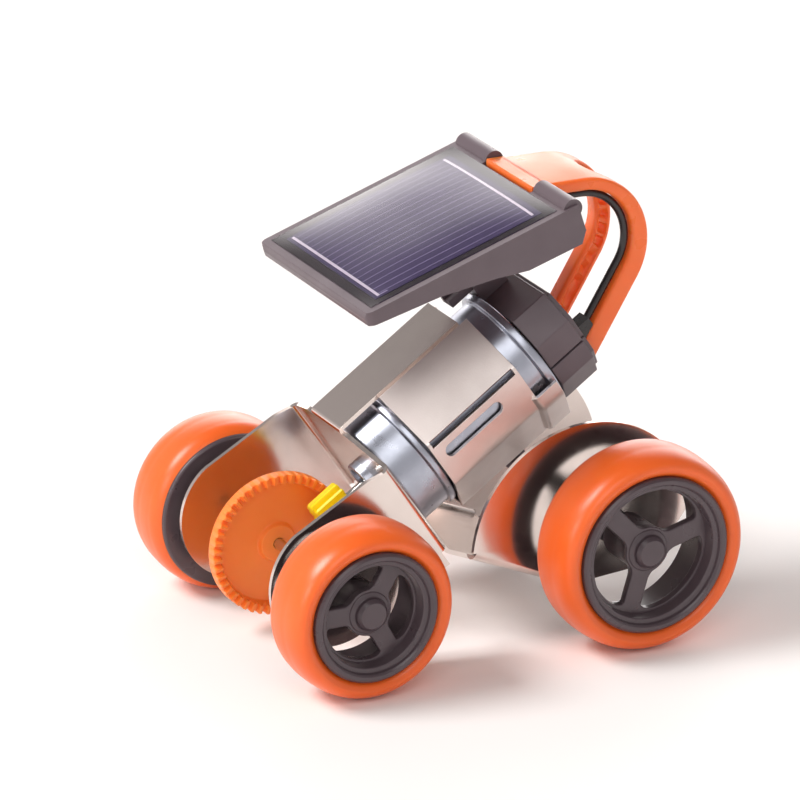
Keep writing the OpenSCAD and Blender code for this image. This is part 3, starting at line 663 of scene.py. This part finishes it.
def bracket(flat, inward, edge):
    """U shaped bracket. Each row runs straight from the right cheek's free edge to its bend, round the
    bend, over the flat, round the other bend and out to the left cheek's edge. flat(y) is the flat's
    side line at y, inward the way the cheeks stand, and edge the side line of their free edge."""
    fold = flat(CHEEK_Y - BEND)
    start = fold + BEND * np.asarray(inward)
    side = [(start + (edge - start) * v, CHEEK_Y) for v in np.linspace(1, 0, 14)]
    side += [(fold + (start - fold) * (1 - math.cos(k)), CHEEK_Y - BEND + BEND * math.sin(k))
             for k in np.radians([72, 54, 36, 18])]
    columns = [(p, -y) for p, y in side] + [(flat(y), y) for y in across()] + side[::-1]
    return grid(strip([c[0] for c in columns], [c[1] for c in columns]))


def front_bracket():
    """Web in front of the motor with its two cheeks; the web's top slopes up to the tongue."""
    rows = 90
    top_y = [-CHEEK_Y, TONGUE_Y[0] - SPREAD, TONGUE_Y[0], TONGUE_Y[1], TONGUE_Y[1] + SPREAD, CHEEK_Y]
    top_u = [10.75, 13.2, TONGUE_U - TONGUE_BEND, TONGUE_U - TONGUE_BEND, 13.2, 10.75]
    down = np.linspace(0, 1, rows)

    def flat(y):
        top = np.interp(y, top_y, top_u)
        return motor_xz(top + (WEB_LOW_U - top) * down, WEB_S)

    corner_u = np.interp(CHEEK_Y - BEND, top_y, top_u)
    nose = arc(54.5, 17, 12.2, 50.3, -120.6, 60)
    edge = np.concatenate([motor_xz([corner_u + 0.17, 11.97], [WEB_S - BEND - 0.5, 15.17]), side_xz(nose),
                           motor_xz([-12.45], [WEB_S - BEND])])
    return bracket(flat, motor_xz(0, 0) - motor_xz(0, 1), evenly(edge, rows))


def tongue():
    """Bend at the top of the web and the flat tongue over the motor."""
    line = rounded([(TONGUE_U - TONGUE_BEND, WEB_S, 0), (TONGUE_U, WEB_S, TONGUE_BEND),
                    (TONGUE_U, TONGUE_REAR_S, 0)], 5, closed=False)
    ys = [y for y in across() if TONGUE_Y[0] - 0.01 < y < TONGUE_Y[1] + 0.01]
    side = motor_xz(line[:, 0], line[:, 1])
    return grid(strip([side] * len(ys), ys))


def floor_bend():
    """Foot of the web bending into the sloping floor plate."""
    fold_u, fold_r = -11.1, 1.8
    foot = motor_xz([WEB_LOW_U, fold_u], [WEB_S, WEB_S])
    front = side_xz(FLOOR_FRONT)
    line = rounded([(*foot[0], 0), (*foot[1], fold_r), (*front, 0)], 6, closed=False)
    ys = across()
    return grid(strip([line] * len(ys), ys))


def rear_bracket():
    """Floor plate with the two round rear cheeks."""
    rows = 110
    front, rear = side_xz(FLOOR_FRONT), side_xz(FLOOR_REAR)
    line = front + (rear - front) * np.linspace(0, 1, rows)[:, None]
    ahead = (front - rear) / np.linalg.norm(front - rear)
    disc = arc(5, 16, 22.2, 3.4, 168.8, 90)
    edge = side_xz(np.concatenate([disc, rounded([(-16.78, 20.3, 0), (-9, 9.5, 3), (7.6, 8.15, 0)], 6,
                                                 closed=False)[1:]]))
    return bracket(lambda y: line, [-ahead[1], ahead[0]], evenly(edge, rows))


def chassis():
    """The bent sheet in one piece."""
    piece = make_piece("bent_chassis", [front_bracket(), tongue(), floor_bend(), rear_bracket()], NICKEL,
                       "chassis", ["chassis_frame"], sharp=60)
    bevelled(sheet_metal(piece, SHEET), SHEET_EDGE, angle=50)


# ------------ motor and its clip

CLIP_S = (28.3, 49.0)                         # both ends along the motor axis
CLIP_FLAT_Y, CLIP_LOW_U = 11.95, -11.9        # side flats and bottom flat
CLIP_TOP_FOLD_U, CLIP_LOW_FOLD_U = 5.2, -3.9  # folds of the side flats
CLIP_SHEET, CLIP_EDGE = 0.74, 0.1             # thickness, rounding of the cut edges
SLOT_U, SLOT_S, SLOT_R = 1.8, (31.55, 42.05), 1.25


def clip_line(grow):
    """Section (u, y) of the clip: flats round the motor with tight folds, open at the top."""
    flat_y, low_u, low_y = CLIP_FLAT_Y + grow, CLIP_LOW_U - grow, 6.6 + 0.6 * grow
    fold_u = CLIP_LOW_FOLD_U - 0.4 * grow
    return [(13.0 + grow, 2.95, 0), (CLIP_TOP_FOLD_U + 0.6 * grow, flat_y, 0.6), (fold_u, flat_y, 0.8),
            (low_u, low_y, 0.8), (low_u, -low_y, 0.8), (fold_u, -flat_y, 0.8), (9 + grow, -flat_y, 0)]


def finer(line, longest):
    """The same line with every run longer than longest divided into equal steps."""
    out = [line[:1]]
    for a, b in zip(line[:-1], line[1:]):
        n = max(1, math.ceil(np.linalg.norm(b - a) / longest))
        out.append(a + (b - a) * (np.arange(1, n + 1) / n)[:, None])
    return np.concatenate(out)


def clip_sheet():
    """Section carried along the motor. Cells are left out along the scored fold, and in a window of
    the left flat that a ruled ring fills: each border point is joined to the nearest point of the
    slot's round ended outline."""
    cell, end_strip, score_half = 0.7, 0.7, 0.42
    line = finer(rounded(clip_line(SHEET / 2), 4, closed=False), cell)
    s = np.linspace(*CLIP_S, 31)
    points = on_motor(line[:, 0][:, None], line[:, 1][:, None], s[None])
    mid = (line[:-1] + line[1:]) / 2
    mid_s = (s[:-1] + s[1:]) / 2
    in_fold = (abs(mid[:, 0] - CLIP_TOP_FOLD_U) < score_half) & (mid[:, 1] > 11.4)
    inside = (mid_s > CLIP_S[0] + end_strip) & (mid_s < CLIP_S[1] - end_strip)
    slit = in_fold[:, None] & inside[None]
    on_flat = np.where((line[:, 1] > 12.3) & (line[:, 0] < 4.5) & (line[:, 0] > -1.4))[0]
    along = np.where((s > 29.3) & (s < 44.7))[0]
    i0, i1, j0, j1 = on_flat[0], on_flat[-1], along[0], along[-1]
    window = np.zeros_like(slit)
    window[i0:i1, j0:j1] = True
    border = ([(i, j0) for i in range(i0, i1)] + [(i1, j) for j in range(j0, j1)]
              + [(i, j1) for i in range(i1, i0, -1)] + [(i0, j) for j in range(j1, j0, -1)])
    edge = np.array([[line[i, 0], s[j]] for i, j in border])
    core = np.stack([np.full(len(edge), SLOT_U), np.clip(edge[:, 1], *SLOT_S)], -1)
    away = (edge - core) / np.linalg.norm(edge - core, axis=1)[:, None]
    ring = np.stack([on_motor(p[:, 0], line[i0, 1], p[:, 1]) for p in (core + SLOT_R * away, edge)])
    return [grid(points, keep=~(slit | window)), grid(ring, wrap_v=True)]


def clip_tab():
    """Tab at the rear of the left side: the section steps outwards over the motor's lip, up a smooth
    ramp 1 mm long."""
    step_s, step = 48.1, 0.95
    rows = []
    for s in np.concatenate([np.linspace(47.9, 49.3, 8), np.linspace(50, 53.4, 6)]):
        lift = np.clip((s - step_s) / 1.0, 0, 1)
        grow = SHEET / 2 + step * lift * lift * (3 - 2 * lift)
        flat_y, fold_u = CLIP_FLAT_Y + grow, CLIP_LOW_FOLD_U - 0.4 * grow
        line = rounded([(-1.7, flat_y, 0), (fold_u, flat_y, 1.2), (-10.6 - grow, 7.5 + 0.6 * grow, 0)], 6,
                       closed=False)
        line = evenly(line, 18)
        rows.append(on_motor(line[:, 0], line[:, 1], s))
    return grid(np.stack(rows))


def motor_clip():
    """The clip and its tab, a little thinner than the chassis sheet."""
    piece = make_piece("motor_clip_sheet", clip_sheet() + [clip_tab()], SATIN, "chassis", ["motor_clip"],
                       sharp=60)
    bevelled(sheet_metal(piece, CLIP_SHEET), CLIP_EDGE, angle=50)


def motor_can():
    """Section (radius, s) turned round the motor axis: nose ring, drawn can, front bead, rear lip."""
    can_r, bead_r, lip_r, bore_r = 11.6, 12.4, 12.5, 1.2
    profile = rounded([
        (bore_r, 18.5, 0), (3.4, 18.5, 0.1), (3.4, 17.6, 0.15), (4.3, 17.6, 0.25), (4.3, 20.05, 0.2),
        (can_r, 20.05, 1.3), (can_r, 26.8, 0.25), (bead_r, 26.8, 0.35), (bead_r, 28.1, 0.3),
        (can_r, 28.1, 0.1), (can_r, 52.3, 0.35), (lip_r, 52.5, 0.3), (lip_r, 54.0, 0.35),
        (10.95, 54.0, 0.3), (10.95, 51.0, 0), (10.9, 21.1, 0.5), (bore_r, 21.1, 0)], 5)
    make_piece("motor_drawn_can", [turned_on_motor(profile, 144)], CAN, "chassis", ["motor_can"],
               sharp=40)


# ------------ arm and lead

ARM_HALF, LEG_IN_Y = 8.2, 4.8                 # the arm's outer faces and the legs' inner faces
ARM_X = 2.0                                   # centres of the bend's outer and inner arcs
ARM_OUT_Z, ARM_OUT_R, ARM_IN_Z, ARM_IN_R = 66.6, 13.2, 67.6, 9.9
LEG_TURN = 210.0                              # degrees at which the arcs end and the legs start
LEG_WAY = np.array([math.cos(math.radians(LEG_TURN + 90)), math.sin(math.radians(LEG_TURN + 90))])
CAP_REAR_S = 62.8                             # rear face of the covers along the motor axis
LEG_GAP = 0.02                                # the legs stop this far short of it


def to_cap(point):
    """How far a leg line runs from a side point down to the rear cover."""
    back = motor_back[[0, 2]]
    return (CAP_REAR_S - (side_xz(point) - motor_origin[[0, 2]]) @ back) / (LEG_WAY @ back)


def arm_edges():
    """Outer and inner side lines of the arm from the hinge to the cover, and the leg spread at each
    point: 0 over the tongue, then a quarter ellipse out to the legs' inner faces."""
    flat_n, bend_n, leg_n = 11, 61, 12
    split_from, split_over = 104, 24
    lead_in = np.linspace(hinge[0] - rear_x - 0.9, ARM_X, flat_n + 1)[:-1]
    run = np.linspace(0, 1, leg_n + 1)[1:, None]
    lines = []
    for z, r in ((ARM_OUT_Z, ARM_OUT_R), (ARM_IN_Z, ARM_IN_R)):
        flat = np.stack([lead_in, np.full(flat_n, z + r)], -1)
        bend = arc(ARM_X, z, r, 90, LEG_TURN, bend_n)
        leg = bend[-1] + LEG_WAY * run * (to_cap(bend[-1]) - LEG_GAP)
        lines.append(np.concatenate([flat, bend, leg]))
    crotch = np.clip((np.linspace(90, LEG_TURN, bend_n) - split_from) / split_over, 0, 1)
    spread = LEG_IN_Y * np.sqrt(1 - (1 - crotch) ** 2)
    spread = np.concatenate([np.zeros(flat_n), spread, np.full(leg_n, LEG_IN_Y)])
    return lines[0], lines[1], spread


def arm_half(side, ribbed):
    """Half of the arm: a rectangle with round corners carried along the side lines. On the ribbed
    side the leg's inner face is sunk, and cross ribs stand in it as a wave along the leg."""
    edge_r, rib_pitch, rib_deep, rib_rise = 0.7, 2.9, 0.95, 0.8
    outer, inner, spread = arm_edges()
    thick = np.linalg.norm(inner - outer, axis=1)
    run = np.concatenate([[0], np.cumsum(np.linalg.norm(np.diff(outer, axis=0), axis=1))])
    big = np.minimum(edge_r, 0.3 * thick)
    small = np.minimum(big, 0.7 * spread)
    q = np.linspace(0, 90, 5)
    ys, ts = [], []
    corners = [(spread, 0 * thick, small, 180), (0 * spread + ARM_HALF, 0 * thick, big, 270),
               (0 * spread + ARM_HALF, thick, big, 0), (spread, thick, small, 90)]
    for y, t, r, a0 in corners:
        y_in = 1 if a0 in (90, 180) else -1
        t_in = 1 if a0 in (180, 270) else -1
        for a in np.radians(a0 + q):
            ys.append(y + r * (y_in + math.cos(a)))
            ts.append(t + r * (t_in + math.sin(a)))
    face_t = [thick * k for k in np.linspace(0.78, 0.22, 9)]
    wave = np.clip(np.sin(run * 2 * math.pi / rib_pitch) * 1.8, 0, 1)
    channel = (rib_deep - rib_rise * wave) * (spread > LEG_IN_Y - 0.05) * ribbed
    for t, k in zip(face_t, np.sin(np.linspace(0, math.pi, 9)) ** 0.5):
        ys.append(spread + k * channel)
        ts.append(t)
    ys, ts = np.stack(ys, 1), np.stack(ts, 1)
    xz = outer[:, None] + (inner - outer)[:, None] * (ts / thick[:, None])[..., None]
    points = on_side(xz[..., 0], side * ys, xz[..., 1])
    at_middle = np.abs(ys) < 1e-6
    nxt = np.roll(at_middle, -1, axis=1)
    keep = ~(at_middle[:-1] & at_middle[1:] & nxt[:-1] & nxt[1:])
    n = points.shape[1]
    part_points, quads = grid(points, wrap_v=True, keep=keep)
    last = (len(points) - 1) * n
    return part_points, quads + [list(range(n)), list(range(last, last + n))]


def knuckle():
    """Round the hinge pin: radius is a constant cut down to a flat top, level with the tongue, and the
    same at every station across."""
    knuckle_r, bore_r, flat_top = 1.8, 0.65, ARM_OUT_Z + ARM_OUT_R - hinge[2]
    a = circle(96)
    lift = np.sin(a)
    rim = np.where(lift > 0.1, np.minimum(knuckle_r, flat_top / np.maximum(lift, 0.1)), knuckle_r)
    stations = [(bore_r + 0 * a, -ARM_HALF), (rim, -ARM_HALF), (rim, ARM_HALF), (bore_r + 0 * a, ARM_HALF)]
    rows = [np.stack([hinge[0] + r * np.cos(a), y + 0 * a, hinge[2] + r * lift], -1) for r, y in stations]
    return grid(np.stack(rows), wrap_u=True, wrap_v=True)


def support_arm():
    """Both halves, and the knuckle on the hinge pin."""
    make_piece("orange_arm", [arm_half(1, False), arm_half(-1, True), knuckle()], ORANGE,
               "chassis", ["support_arm"], sharp=40)


LEAD_R, LEAD_Y = 0.7, 6.5   # radius, and how far left it lies


def lead_line():
    """Middle line (x, z) of the lead: out of the panel, over the bend and down along the left leg."""
    bend_r, bend_x, bend_a = 6.0, 7.0, 35
    free_end, along_leg, step = 2.9, 13.55, 1.0
    arc_r = ARM_IN_R - 0.1 - LEAD_R
    top = ARM_IN_Z + arc_r
    a = math.radians(bend_a)
    start = np.array([bend_x + bend_r * math.sin(a), top - bend_r + bend_r * math.cos(a)])
    line = [start + free_end * np.array([math.cos(a), -math.sin(a)]),
            *arc(bend_x, top - bend_r, bend_r, 90 - bend_a, 90, 9),
            *arc(ARM_X, ARM_IN_Z, arc_r, 90, LEG_TURN, 50)]
    line.append(line[-1] + along_leg * LEG_WAY)
    return finer(np.array(line), step)


def tube(line, y, r):
    """Circle carried along a line of the side plane, closed at both ends."""
    steps = 16
    ahead = np.gradient(line, axis=0)
    ahead /= np.linalg.norm(ahead, axis=1)[:, None]
    a = circle(steps)
    x = line[:, 0][:, None] - r * np.cos(a)[None] * ahead[:, 1][:, None]
    z = line[:, 1][:, None] + r * np.cos(a)[None] * ahead[:, 0][:, None]
    points, quads = grid(on_side(x, y + r * np.sin(a)[None] + 0 * x, z), wrap_v=True)
    last = (len(line) - 1) * steps
    return points, quads + [list(range(steps)), list(range(last, last + steps))]


def solar_lead():
    """The lead from the panel to the cover."""
    make_piece("panel_lead", [tube(lead_line(), LEAD_Y, LEAD_R)], PVC, "chassis", ["solar_lead"],
               sharp=50)


# ------------ solar panel

def panel_box(node):
    """Lowest and highest corners of a panel node in the panel's own frame."""
    points = np.array([v.co for v in frame["nodes"][node].data.vertices]) / MM - hinge
    local = np.stack([points @ panel_down, points[:, 1], points @ panel_out], -1)
    return local.min(0), local.max(0)


def cell_dome():
    """Poured resin pillow: height is the edge height plus a crown times (1-|p|^2.8)(1-|q|^2.8), where p
    and q run from -1 to 1 across the seat, closer together at its edges. The sides go straight down
    into the board."""
    edge_z, flatness, sunk = 0.75, 2.8, 0.12
    low, high = panel_box("cell_dome")
    mid, half = (low + high) / 2, (high - low) / 2
    even = np.linspace(-1, 1, 61)
    run = 0.5 * np.sin(even * math.pi / 2) + 0.5 * even
    p, q = np.meshgrid(run, run, indexing="ij")
    z = edge_z + (high[2] - edge_z) * (1 - np.abs(p) ** flatness) * (1 - np.abs(q) ** flatness)
    top = on_panel(mid[0] + half[0] * p, half[1] * q, z)
    n = len(run)
    rim = ([(i, 0) for i in range(n - 1)] + [(n - 1, j) for j in range(n - 1)]
           + [(i, n - 1) for i in range(n - 1, 0, -1)] + [(0, j) for j in range(n - 1, 0, -1)])
    flat = np.array([[p[i, j], q[i, j]] for i, j in rim])
    wall = np.stack([on_panel(mid[0] + half[0] * flat[:, 0], half[1] * flat[:, 1], h)
                     for h in (edge_z, low[2] - sunk)])
    base = (wall[1], [list(range(len(rim)))])
    make_piece("resin_pillow", [grid(top), grid(wall, wrap_v=True), base], RESIN, "panel", ["cell_dome"],
               sharp=40)


def cell_fingers():
    """Fine printed lines of the cell, parallel to the panel's sides from one bus line to the other, and
    the short hook at the left end of the front bus line."""
    lines, width, lift, margin = 17, 0.11, 0.03, 1.3
    hook_x, hook_y, hook_lift = 1.6, 0.3, 0.1
    low, high = panel_box("solar_cell")
    front, rear = panel_box("cell_bus_front"), panel_box("cell_bus_rear")
    parts = []
    for y in np.linspace(low[1] + margin, high[1] - margin, lines):
        outline = np.array([[rear[1][0], y - width / 2], [front[0][0], y - width / 2],
                            [front[0][0], y + width / 2], [rear[1][0], y + width / 2]])
        parts.append(slab(outline, high[2], high[2] + lift, on_panel))
    x, y = front[0][0], front[1][1]
    hook = np.array([[x - hook_x, y - hook_y], [x, y - hook_y], [x, y], [x - hook_x, y]])
    parts.append(slab(hook, high[2], high[2] + hook_lift, on_panel))
    make_piece("cell_print_lines", parts, FINGER, "panel", sharp=30)


# ------------ stage, lights and camera

VIEW_AZ, VIEW_EL, VIEW_ROLL = 30.36, 22.79, 2.28   # degrees from +Y towards +X, up, and tilt
VIEW_DISTANCE = 1116
LENS_MM, SENSOR_MM = 280.44, 36
AIM_LEFT, AIM_UP = 0.02506, 0.0297                 # shares of the distance, away from the rear axle
OBJECT_MIDDLE = (0, 0, 0.04)                       # metres, where the soft boxes point


def camera():
    """Stands at the viewing angle, measured from the floor under the rear axle, and looks at the
    middle of the object through a long lens."""
    az, el, roll = (math.radians(a) for a in (VIEW_AZ, VIEW_EL, VIEW_ROLL))
    toward = Vector((math.sin(az) * math.cos(el), math.cos(az) * math.cos(el), math.sin(el)))
    place = Vector((rear_x, 0, 0)) + toward * VIEW_DISTANCE
    right = (-toward).cross(Vector((0, 0, 1))).normalized()
    up = right.cross(-toward)
    right, up = (math.cos(roll) * right + math.sin(roll) * up,
                 math.cos(roll) * up - math.sin(roll) * right)
    aim = (-toward - AIM_LEFT * right + AIM_UP * up).normalized()
    right = aim.cross(up).normalized()
    turn = Matrix((right, right.cross(aim), -aim)).transposed().to_4x4()
    data = bpy.data.cameras.new("camera")
    data.lens, data.sensor_width = LENS_MM, SENSOR_MM
    data.clip_start, data.clip_end = 0.05, 20
    view = bpy.data.objects.new("camera", data)
    view.matrix_world = Matrix.Translation(place * MM) @ turn
    bpy.context.scene.collection.objects.link(view)
    bpy.context.scene.camera = view


def hang(name, data, colour, direction):
    """Puts a light in the scene so that it shines from that direction."""
    data.color = linear(colour)[:3]
    lamp = bpy.data.objects.new(name, data)
    lamp.rotation_mode = "QUATERNION"
    lamp.rotation_quaternion = Vector(direction).to_track_quat("Z", "Y")
    bpy.context.scene.collection.objects.link(lamp)
    return lamp


def softbox(name, direction, distance, size, power):
    """A square area light that faces the middle of the object; metres and watts."""
    data = bpy.data.lights.new(name, "AREA")
    data.shape, data.size, data.energy = "SQUARE", size, power
    way = Vector(direction).normalized()
    hang(name, data, "#FFFDFB", way).location = Vector(OBJECT_MIDDLE) + way * distance


def broad_sun():
    """The key light, wide enough that its shadows have soft edges."""
    data = bpy.data.lights.new("key", "SUN")
    data.energy, data.angle = 2.65, math.radians(24)
    hang("key", data, "#FFFCFB", (0.62, -0.22, 0.75))


def room():
    """Room light: bright round the horizon, fading to a dim ceiling, with a soft window glow low
    behind the car's right side."""
    horizon, ceiling, glow_level = 0.74, 0.18, 3.4
    window = Vector((-0.55, -0.82, 0.15)).normalized()
    world = bpy.data.worlds.new("room")
    bpy.context.scene.world = world
    world.use_nodes = True
    tree = world.node_tree
    tree.nodes.clear()
    way = add(tree, "TexCoord").outputs["Generated"]
    height = add(tree, "SeparateXYZ", inputs={0: way}).outputs["Z"]
    level = add(tree, "MapRange", {"interpolation_type": "SMOOTHSTEP"},
                {"Value": height, "From Min": 0.1, "From Max": 0.85, "To Min": horizon,
                 "To Max": ceiling})
    facing = add(tree, "VectorMath", {"operation": "DOT_PRODUCT"}, {0: way, 1: window})
    glow = add(tree, "MapRange", {"interpolation_type": "SMOOTHSTEP"},
               {"Value": facing.outputs["Value"], "From Min": 0.74, "From Max": 1.0, "To Min": 0.0,
                "To Max": glow_level})
    total = add(tree, "Math", {"operation": "ADD"}, {0: level.outputs[0], 1: glow.outputs[0]})
    back = add(tree, "Background", inputs={"Color": linear("#FCF7F6"), "Strength": total.outputs[0]})
    add(tree, "OutputWorld", inputs={"Surface": back.outputs[0]})


def studio():
    """Paper floor, the room's light, a broad sun and two soft boxes."""
    half = 4.0   # metres
    mesh = bpy.data.meshes.new("paper_floor")
    mesh.from_pydata([(-half, -half, 0), (half, -half, 0), (half, half, 0), (-half, half, 0)], [],
                     [[0, 1, 2, 3]])
    give_finish(mesh, studio_floor())
    floor = bpy.data.objects.new("paper_floor", mesh)
    bpy.context.scene.collection.objects.link(floor)
    room()
    broad_sun()
    softbox("near", (0.32, 0.68, 0.66), 0.75, 0.42, 1.3)
    softbox("streak", (0.95, 0.1, 0.3), 0.7, 0.2, 0.7)
    bpy.context.scene.view_settings.view_transform = "Standard"


# ------------ everything

camera()
studio()
finish_cad_nodes()
for axle_name in WHEELS:
    for side_name in SIDES:
        tyre(axle_name, side_name)
        hub(axle_name, side_name)
crown_gear()
pinion()
chassis()
motor_clip()
motor_can()
support_arm()
solar_lead()
cell_dome()
cell_fingers()
softened("panel_frame", "panel_tray", ABS, "panel", 0.35)
softened("end_cap_upper", "cover_upper", ABS, "chassis", 0.2)
softened("end_cap_lower", "cover_lower", ABS, "chassis", 0.2)
softened("terminal_block", "terminal_shoe", ABS, "chassis", 0.2)
softened("strain_relief", "lead_gland", PVC, "chassis", 0.25)
